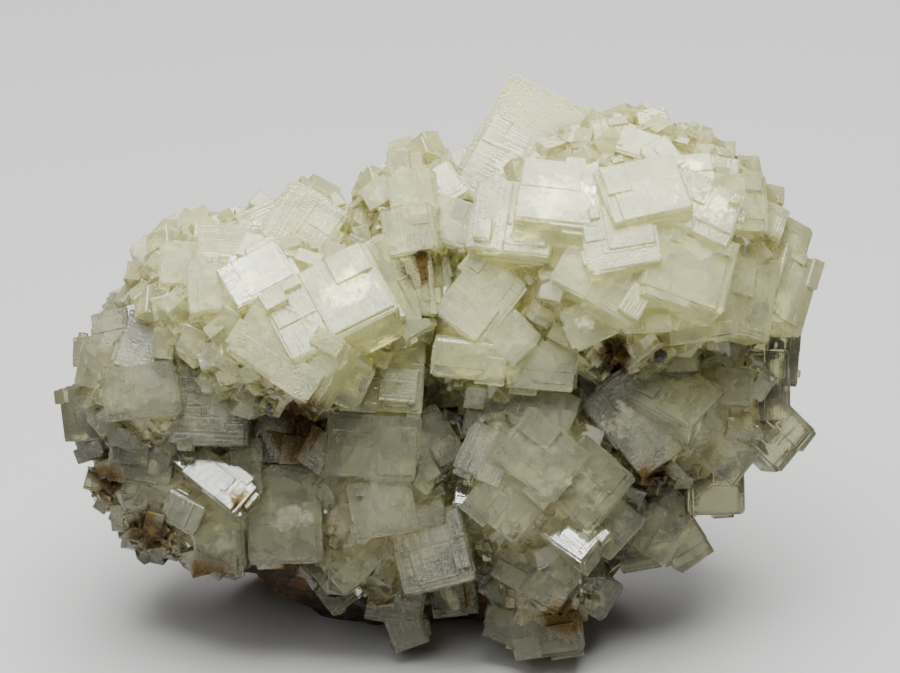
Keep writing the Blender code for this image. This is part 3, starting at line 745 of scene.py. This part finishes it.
def grow_group(name, mounds, crystals, crowded_by, druse, finish, dice):
    """One group as a closed mesh, cut back from the groups that stand before it."""
    meshes = [ball_mesh("mound", mound, **MOUND_LUMPS) for mound in mounds]
    for crystal in crystals:
        meshes += blocks_of(crystal, dice)
    rough, home = joined(name, meshes)
    for taken in crowded_by:
        boolean(rough, "DIFFERENCE", taken)
    tree, shapes = druse
    add_druse(rough, tree, shapes, finish, seed=len(name) + len(crystals))
    piece = frozen(rough, name.replace("_crystals", "_cluster"), home)
    keep_largest(piece.data)
    mark_hollow_shade_and_rust(piece.data, mounds)
    mark_milk_and_shade(piece.data)
    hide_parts(name)
    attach(piece, "root")
    return piece


def taken_space(name, mounds, crystals):
    """What a group takes up, a cleft larger than it is."""
    meshes = [ball_mesh("mound", mound, CLEFT) for mound in mounds]
    room = Vector((2, 2, 2)) * CLEFT
    for crystal in crystals:
        mesh = block_mesh("room", crystal.size + room, Vector((0, 0, 0)), Matrix.Identity(3), 0)
        mesh.transform(place_of(crystal))
        meshes.append(mesh)
    return gathered(name + "_taken", meshes)


def keep_largest(mesh):
    """Removes every loose island of the mesh but the largest."""
    shape = bmesh.new()
    shape.from_mesh(mesh)
    todo, islands = set(shape.faces), []
    while todo:
        island, front = set(), [todo.pop()]
        while front:
            face = front.pop()
            island.add(face)
            for edge in face.edges:
                for neighbour in edge.link_faces:
                    if neighbour in todo:
                        todo.remove(neighbour)
                        front.append(neighbour)
        islands.append(island)
    islands.sort(key=lambda island: sum(face.calc_area() for face in island))
    spare = [face for island in islands[:-1] for face in island]
    bmesh.ops.delete(shape, geom=spare, context="FACES")
    bmesh.ops.triangulate(shape, faces=shape.faces, ngon_method="BEAUTY")
    shape.to_mesh(mesh)
    shape.free()


def corners_of(mesh):
    """The mesh's vertices as rows of x, y and z."""
    places = np.empty(len(mesh.vertices) * 3, dtype=np.float32)
    mesh.vertices.foreach_get("co", places)
    return places.reshape(-1, 3).astype(float)


def heights_over(mounds, places):
    """How far each place stands over the nearest of the mounds, in mm."""
    heights = np.full(len(places), 1e3)
    for mound in mounds:
        radii = np.array(radii_of(mound))
        share = np.linalg.norm((places - np.array(centre_of(mound))) / radii, axis=1)
        heights = np.minimum(heights, (share - 1) * radii.mean() / MM)
    return heights


def put_attribute(mesh, name, values):
    mesh.attributes.new(name, "FLOAT", "POINT").data.foreach_set("value", values)


def make_milky_roots(all_mounds, finish):
    """The cloudy massive part that the clear crystals of every group grow from."""
    meshes = [ball_mesh("milky", mound, **MILKY_LUMPS) for mound in all_mounds]
    rough, home = joined("milky", meshes)
    piece = frozen(rough, "milky_roots", home)
    piece.data.materials.append(finish)
    mark_milk_and_shade(piece.data)
    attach(piece, "root")


def make_veils(crystals, finish, dice):
    """Cleavage cracks sealed in the crystals, all in one piece."""
    shape = bmesh.new()
    for crystal in crystals:
        for veil in veils_of(crystal, dice):
            mesh = veil_mesh(*veil, place_of(crystal))
            shape.from_mesh(mesh)
            bpy.data.meshes.remove(mesh)
    mesh = mesh_of(shape, "cleavage_veils")
    piece = add_object("cleavage_veils", mesh)
    mesh.materials.append(finish)
    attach(piece, "root")


HOLLOW_SHADE_REACH = 2.2  # mm over a mound that the painted shade of the hollows reaches
RUST_REACH = 3.5  # mm over the rock that its stain reaches
RUST_SPOTS = {  # across, up and reach in mm
    "cleft_stain": (-15.5, -9.5, 5.5),
    "mirror_side": (-21.5, -16.5, 2.2),
    "left_rim_1": (-36.0, -15.0, 4.0),
    "left_rim_2": (-31.0, -20.0, 4.0),
    "left_rim_3": (-25.0, -24.5, 4.0),
    "left_rim_4": (-17.0, -25.5, 4.0),
    "crown_cleft": (17.0, -2.0, 3.5),
    "flank_cleft": (21.0, -14.0, 3.2),
    "notch_deep": (-3.0, 7.0, 3.0),
    "foot_stain": (12.0, -29.5, 4.0),
    "pink_stain": (1.5, -26.5, 3.0),
    "sole_stain": (-8.0, -29.0, 4.5),
}


def soft_step(values, low, high):
    share = np.clip((values - low) / (high - low), 0, 1)
    return share * share * (3 - 2 * share)


def mark_milk_and_shade(mesh):
    """How cloudy the crystal is, which paints shade too: most in the crown, least at the foot, the
    right edge and, less so, the left edge, so that the lower part and the sides take darker colours.
    """
    places = (corners_of(mesh) - np.array(SHOW_CENTRE)) / MM
    height = places @ np.array(SIGHT_UP)
    # Painted shade: the mark falls towards the bottom and the sides, where the finishes give darker
    # colours.
    milk = 0.12 + 0.88 * soft_step(height, -15, 9)
    milk *= 1 - 0.75 * soft_step(places[:, 0], 22, 36)
    milk *= 1 - 0.35 * soft_step(-places[:, 0], 18, 36)
    put_attribute(mesh, "milk", milk)


def mark_hollow_shade_and_rust(mesh, mounds):
    """Attributes for the finish: how deep between the crystals a place is, for painted shade in the
    hollows, and how rusty it is.
    """
    places = corners_of(mesh)
    root = np.clip(1 - heights_over(mounds, places) / HOLLOW_SHADE_REACH, 0, 1)
    put_attribute(mesh, "root", root)
    rust = np.clip(1 - heights_over(MATRIX_LUMPS, places) / RUST_REACH, 0, 1) * 0.8
    eye = np.array(EYE)
    aside = places - eye
    for across, up, reach in RUST_SPOTS.values():
        way = np.array(sight_through(across, up))
        off = np.linalg.norm(aside - np.outer(aside @ way, way), axis=1) / MM
        front = aside @ way < SIGHT_DISTANCE + 4 * MM
        rust = np.maximum(rust, np.clip(1.3 - off / reach, 0, 1) * front)
    put_attribute(mesh, "rust", rust)


# ---- finishes ----
class Shade:
    """A socket in a finish, so that shader maths reads as arithmetic."""

    def __init__(self, finish, socket):
        self.finish, self.socket = finish, socket

    def _maths(self, operation, *values):
        return self.finish.node("ShaderNodeMath", {"operation": operation}, *values)

    def __add__(self, other):
        return self._maths("ADD", self, other)

    def __sub__(self, other):
        return self._maths("SUBTRACT", self, other)

    def __rsub__(self, other):
        return self._maths("SUBTRACT", other, self)

    def __mul__(self, other):
        return self._maths("MULTIPLY", self, other)

    __radd__ = __add__
    __rmul__ = __mul__

    def clamped(self):
        made = self._maths("ADD", self, 0.0)
        made.socket.node.use_clamp = True
        return made


class Finish:
    """A material with one Principled shader, and the nodes that feed it."""

    def __init__(self, name, **plain):
        self.material = bpy.data.materials.new(name)
        self.material.use_nodes = True
        self.tree = self.material.node_tree
        self.shader = self.tree.nodes["Principled BSDF"]
        self.set(**plain)
        self.place = self.node("ShaderNodeTexCoord", output="Object")

    def node(self, kind, settings=None, *values, output=0, **named):
        made = add_node(self.tree, kind, settings, *values, **named)
        return Shade(self, made.outputs[output])

    def set(self, **inputs):
        """Feeds the Principled shader's sockets, named with _ for a space."""
        for key, value in inputs.items():
            feed(self.tree, self.shader.inputs[key.replace("_", " ")], value)

    def attribute(self, name, output="Fac"):
        return self.node("ShaderNodeAttribute", {"attribute_name": name}, output=output)

    def noise(self, scale, detail, rough, place=None):
        return self.node(
            "ShaderNodeTexNoise",
            None,
            Vector=place or self.place,
            Scale=scale,
            Detail=detail,
            Roughness=rough,
        )

    def stretched(self, place, x, y, z):
        return self.node("ShaderNodeVectorMath", {"operation": "MULTIPLY"}, place, (x, y, z))

    def ramp(self, value, stops):
        return self.node("ShaderNodeValToRGB", {"stops": stops}, value)

    def between(self, value, low, high):
        """0 below low, 1 over high, and a straight line between."""
        return self.node("ShaderNodeMapRange", None, value, low, high)

    def mixed(self, share, *colours):
        """The first colour where the share is 0, and the second where it is 1."""
        colours = [(*c, 1) if isinstance(c, tuple) else c for c in colours]
        return self.node(
            "ShaderNodeMix", {"data_type": "RGBA"}, share, *[None] * 5, *colours, output=2
        )

    def bump(self, height, distance, strength):
        return self.node(
            "ShaderNodeBump", None, Height=height, Distance=distance, Strength=strength
        )


APOPHYLLITE_IOR = 1.535


def crystal_finish(name, passes, clear, milky, absorbs, density):
    """See-through crystal: cloudier where it is milky, frosted and striated along its c axis,
    darker and yellower down between the crystals as painted shade, darker where it is least
    milky as painted shade low down and at the sides, and rusty where it meets the rock. Clear
    and milky are pairs of colours that each crystal's tint lies between."""
    made = Finish(name, Transmission_Weight=passes, IOR=APOPHYLLITE_IOR)
    grain = made.attribute("grain", output="Vector")
    root, rust, tint = (made.attribute(key) for key in ("root", "rust", "tint"))
    milk, frost = made.attribute("milk"), made.attribute("frost")
    cloud = made.noise(0.3, 2, 0.7, grain)
    sugar = made.noise(4.0, 0, 0.7, grain)
    stripes = made.noise(1.0, 1, 0.7, made.stretched(grain, 3.6, 3.6, 0.15))
    zones = made.noise(1.0, 0, 0.7, made.stretched(grain, 0.25, 0.25, 4.0))
    # Low milk shows the darker clear colours: clearer crystal, and painted shade low down and at the
    # sides.
    shown = made.between(milk + (cloud - 0.5) * 1.6 + (sugar - 0.5) * 0.7, 0.15, 0.85)
    body = made.mixed(shown, made.mixed(tint, *clear), made.mixed(tint, *milky))
    lined = made.between(stripes * 0.9 + cloud * 0.5 + sugar * 0.2, 0.85, 1.1)
    body = made.mixed(lined * 0.35, body, (0.92, 0.92, 0.76))
    # Painted shade: a darker, yellower colour down in the hollows between the crystals.
    hollow_shaded_body = made.mixed(made.between(root * 0.9 + cloud * 0.4, 0.45, 1.2), body, (0.60, 0.54, 0.30))
    rusty = made.between(rust + cloud * 0.7 + sugar * 0.3, 1.0, 1.35)
    speck = made.between(cloud + sugar, 0.8, 1.25)
    ochre = made.mixed(speck, (0.045, 0.031, 0.018), (0.18, 0.118, 0.038))
    made.set(Base_Color=made.mixed(rusty, hollow_shaded_body, ochre), Metallic=rusty * 0.85)
    patchy = made.between(cloud, 0.40, 0.6)
    rough = patchy * 0.06 + frost * (patchy * 0.25 + 0.05) + rusty * 0.55 + 0.03
    made.set(Roughness=(rough + lined * 0.06).clamped())
    height = (stripes * 0.85 + zones * 0.15) * (frost * 0.6 + 0.25)
    made.set(Normal=made.bump(height + sugar * (frost * 0.35 + 0.03), 0.15 * MM, 0.7))
    absorb = made.node(
        "ShaderNodeVolumeAbsorption", None, Color=(*absorbs, 1), Density=density
    )
    feed(made.tree, made.tree.nodes["Material Output"].inputs["Volume"], absorb)
    return made.material


def crystal_finishes():
    """The cream crystal of the upper masses, and the clearer, greyer one of the lower, whose darker
    colours are painted shade as well.
    """
    cream = crystal_finish(
        "cream_apophyllite",
        passes=0.76,
        clear=((0.61, 0.61, 0.38), (0.71, 0.71, 0.48)),
        milky=((0.85, 0.86, 0.50), (0.89, 0.91, 0.62)),
        absorbs=(0.94, 0.92, 0.50),
        density=150,
    )
    # Darker colours: clearer crystal, and painted shade on the lower and outer groups.
    clear = crystal_finish(
        "clear_shaded_apophyllite",
        passes=0.82,
        clear=((0.38, 0.38, 0.27), (0.48, 0.48, 0.36)),
        milky=((0.56, 0.56, 0.41), (0.65, 0.65, 0.51)),
        absorbs=(0.91, 0.89, 0.62),
        density=170,
    )
    return cream, clear


def milky_finish():
    """Cloudy, cream massive crystal with yellower hollows, and painted shade: near black where it is
    least milky, low down and at the sides.
    """
    made = Finish("milky_apophyllite", Roughness=0.5)
    milk = made.attribute("milk")
    mottle = made.noise(500, 2, 0.7)
    bright = made.ramp(
        mottle, [(0.36, (0.42, 0.38, 0.15)), (0.47, (0.76, 0.77, 0.45)), (0.6, (0.88, 0.90, 0.68))]
    )
    # Painted shade: near-black colours used where the milk mark is low, low down and at the sides.
    painted_shade_ramp = made.ramp(
        mottle, [(0.36, (0.07, 0.06, 0.04)), (0.50, (0.16, 0.15, 0.11)), (0.66, (0.27, 0.27, 0.21))]
    )
    made.set(Base_Color=made.mixed(milk, painted_shade_ramp, bright))
    return made.material


def veil_finish():
    """Bright, ragged crack in the crystal."""
    made = Finish("cleavage_veil", Base_Color=(0.97, 0.97, 0.90, 1), Roughness=0.25, Metallic=0.7)
    grain = made.attribute("grain", output="Vector")
    tint = made.attribute("tint")
    reach = made.node("ShaderNodeVectorMath", {"operation": "LENGTH"}, grain, output=1)
    tear = made.noise(900, 3, 0.75)
    shown = made.between(1.1 - reach * 0.75 + (tear - 0.5) * 3.0 + tint * 0.02, 0.35, 1.15)
    made.set(Alpha=shown * 0.6)
    return made.material


# ---- the rock ----
def rock_lump(lump):
    """One lump of rock: a ball with flat fractures, crags and grit."""
    shape = bmesh.new()
    bmesh.ops.create_icosphere(shape, subdivisions=ROCK_DETAIL, radius=1)
    radii, centre = radii_of(lump), centre_of(lump)
    dice = random.Random(round(lump.x))
    breaks = []
    for _ in range(ROCK_BREAKS):
        normal = Vector(dice.gauss(0, 1) for _ in range(3)).normalized()
        breaks.append((normal, dice.uniform(*ROCK_BREAK_DEPTHS)))
    for vert in shape.verts:
        unit = vert.co.copy()
        at = unit * 1.7 + centre * 90
        vert.co *= 1 + ROCK_SWELL * noise.noise(at) + ROCK_SWELL / 2 * noise.noise(at * 2.6)
        for normal, depth in breaks:
            vert.co -= normal * max(0.0, vert.co.dot(normal) - depth)
        vert.co = centre + Vector(c * r for c, r in zip(vert.co, radii))
        place = vert.co / MM
        crag = noise.fractal(place * 0.16, 0.9, 2.1, 5)
        pit = abs(noise.noise(place * 0.45)) - 0.25
        grit = noise.fractal(place * 1.3, 0.7, 2.1, 3)
        vert.co += unit * (0.9 * crag + 0.9 * pit + 0.22 * grit - 0.5) * MM
    return mesh_of(shape, "rock_lump")


def make_rock(finish):
    """The lumps joined, and cut off flat where the rock rests."""
    rough, home = joined("rock", [rock_lump(lump) for lump in MATRIX_LUMPS])
    size = Vector((200, 200, 40)) * MM
    middle = Vector((0, 0, -size.z / 2))
    under = gathered("under", [block_mesh("under", size, middle, Matrix.Identity(3), 0)])
    boolean(rough, "DIFFERENCE", under)
    piece = frozen(rough, "iron_stained_rock", home, under)
    keep_largest(piece.data)
    piece.data.materials.clear()
    piece.data.materials.append(finish)
    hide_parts("matrix")
    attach(piece, "root")


def rock_finish():
    """Dark iron-stained rock with rusty patches, black spots and paler grit."""
    made = Finish("iron_stained_rock", Specular_IOR_Level=0.3)
    patches = made.noise(120, 5, 0.6)
    grit = made.noise(1400, 4, 0.7)
    spots = made.noise(420, 3, 0.6)
    colour = made.ramp(
        patches,
        [
            (0.36, (0.020, 0.016, 0.013)),
            (0.48, (0.050, 0.034, 0.023)),
            (0.57, (0.125, 0.070, 0.034)),
            (0.68, (0.29, 0.155, 0.060)),
        ],
    )
    colour = made.mixed(made.between(spots, 0.58, 0.66), colour, (0.025, 0.02, 0.018))
    colour = made.mixed(made.between(grit, 0.5, 0.75) * 0.4, colour, (0.30, 0.21, 0.12))
    made.set(Base_Color=colour)
    made.set(Roughness=made.between(grit, 0.2, 0.8) * 0.3 + 0.6)
    made.set(Normal=made.bump(grit * 0.6 + spots * 0.4, 0.4 * MM, 0.7))
    return made.material


GRAINS = (  # across, up and breadth in mm, where the line of sight meets the crystals
    (21.7, -2.1, 1.6), (21.5, -14.8, 1.3), (-18.7, -7.3, 0.8), (9.8, -0.4, 0.35), (3.6, -9.0, 0.5),
    (29.4, 18.5, 0.45), (-12.0, -27.0, 1.2), (-15.5, -25.5, 1.0), (-19.0, -24.5, 0.7),
    (26.6, -2.0, 0.5), (-29.5, -20.5, 0.8),
)
BACK_GRAINS = 26


def seat_on(pieces, start, way):
    """The nearest point of the pieces along a line, or None."""
    hits = [piece.ray_cast(start, way) for piece in pieces]
    places = [place for hit, place, _, _ in hits if hit]
    return min(places, key=lambda place: (place - start).length) if places else None


def make_dark_grains(pieces, finish, dice):
    """Dark mineral grains caught between the crystals, in front and round the back."""
    spots = []
    for across, up, breadth in GRAINS:
        spots.append((seat_on(pieces, EYE, sight_through(across, up)), breadth))
    for _ in range(BACK_GRAINS):
        turn = dice.uniform(0.2, math.pi - 0.2)
        way = Vector((math.cos(turn), math.sin(turn), dice.uniform(-0.3, 0.7))).normalized()
        aim = Vector((dice.uniform(-25, 28), 0, dice.uniform(12, 46))) * MM
        spots.append((seat_on(pieces, aim + way * 0.1, -way), dice.uniform(0.3, 0.9)))
    shape = bmesh.new()
    for place, breadth in spots:
        if place is None:
            continue
        made = bmesh.ops.create_icosphere(shape, subdivisions=2, radius=breadth / 2 * MM)["verts"]
        stretch = Vector(dice.uniform(0.7, 1.2) for _ in range(3))
        for vert in made:
            swell = 1 + 0.9 * noise.noise(vert.co.normalized() * 1.3 + place * 900)
            vert.co = place + Vector(c * t for c, t in zip(vert.co, stretch)) * swell
    mesh = mesh_of(shape, "dark_grains")
    piece = add_object("dark_grains", mesh)
    mesh.materials.append(finish)
    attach(piece, "root")


def grain_finish():
    """Near-black mineral with brown specks and a little shine."""
    made = Finish("dark_grain", Specular_IOR_Level=0.6)
    mottle = made.noise(2600, 3, 0.6)
    made.set(Base_Color=made.ramp(mottle, [(0.4, (0.012, 0.012, 0.014)), (0.7, (0.09, 0.06, 0.04))]))
    made.set(Roughness=made.between(mottle, 0.3, 0.7) * 0.4 + 0.2)
    made.set(Normal=made.bump(mottle, 0.1 * MM, 0.6))
    return made.material


# ---- stage ----
TABLE_REACH = 1.5
FOCAL_LENGTH, SENSOR_WIDTH = 135, 36
LIGHTS = {  # elevation, azimuth and distance from the specimen, then size and power
    "overhead": (84, -15, 0.5, 0.46, 8.8),
    "front_fill": (48, -30, 0.9, 0.6, 3.9),
    "back_fill": (50, 160, 0.7, 0.4, 2.6),
}
GLINT_SIZE, GLINT_POWER = 0.03, 0.16


def make_floor():
    shape = bmesh.new()
    bmesh.ops.create_grid(shape, x_segments=1, y_segments=1, size=TABLE_REACH)
    mesh = mesh_of(shape, "table_top")
    floor = add_object("table_top", mesh)
    finish = Finish("pale_table", Base_Color=(0.42, 0.42, 0.413, 1), Roughness=0.6)
    mesh.materials.append(finish.material)


def add_light(name, place, size, power):
    """A square soft light aimed at the specimen."""
    lamp = bpy.data.lights.new(name, "AREA")
    lamp.size = size
    lamp.energy = power
    turn = (place - SHOW_CENTRE).to_track_quat("Z", "Y").to_matrix().to_4x4()
    add_object(name, lamp).matrix_world = Matrix.Translation(place) @ turn


def off_specimen(elevation, azimuth, distance):
    """A place round the specimen. Azimuth 0 is the viewer's side, + to the right."""
    e, a = math.radians(elevation), math.radians(azimuth)
    way = Vector((math.sin(a) * math.cos(e), -math.cos(a) * math.cos(e), math.sin(e)))
    return SHOW_CENTRE + way * distance


def set_the_light():
    world = bpy.data.worlds.new("studio")
    world.use_nodes = True
    sky = world.node_tree.nodes["Background"].inputs
    sky["Color"].default_value = (0.9, 0.9, 0.9, 1)
    sky["Strength"].default_value = 0.15
    bpy.context.scene.world = world
    for name, (elevation, azimuth, distance, size, power) in LIGHTS.items():
        add_light(name, off_specimen(elevation, azimuth, distance), size, power)
    add_light("glint", GLINT_LAMP, GLINT_SIZE, GLINT_POWER)


def set_the_camera():
    lens = bpy.data.cameras.new("camera")
    lens.lens, lens.sensor_width = FOCAL_LENGTH, SENSOR_WIDTH
    camera = add_object("camera", lens)
    turn = SIGHT_TOWARDS.to_track_quat("Z", "Y").to_matrix().to_4x4()
    camera.matrix_world = Matrix.Translation(EYE) @ turn
    bpy.context.scene.camera = camera


# ---- the specimen ----
def main():
    cream, clear = crystal_finishes()
    make_rock(rock_finish())
    layout_dice, growth_dice = random.Random(7), random.Random(11)
    small_shapes = small_crystal_shapes(random.Random(3))
    druse = (druse_tree(), small_shapes)
    everything = {**GROUPS, **BACK_GROUPS}
    all_mounds = [m for mounds, _ in everything.values() for m in mounds]
    taken, grown, pieces = [], [], []
    for name, (mounds, rows) in everything.items():
        others = [m for m in all_mounds if m not in mounds] + MATRIX_LUMPS
        crystals = show_crystals(mounds, rows)
        crystals = [turned_to_glint(c) if c.name in GLINTS else c for c in crystals]
        crystals += hidden_crystals(mounds, others, layout_dice)
        finish = clear if name in CLEAR_AND_SHADED_GROUPS else cream
        pieces.append(grow_group(name, mounds, crystals, taken, druse, finish, growth_dice))
        taken.append(taken_space(name, mounds, crystals))
        grown += crystals
    make_milky_roots(all_mounds, milky_finish())
    make_veils(grown, veil_finish(), random.Random(5))
    bpy.context.view_layer.update()
    make_dark_grains(pieces, grain_finish(), random.Random(13))
    for home in [*taken, small_shapes]:
        empty_out(home)


main()
make_floor()
set_the_light()
set_the_camera()
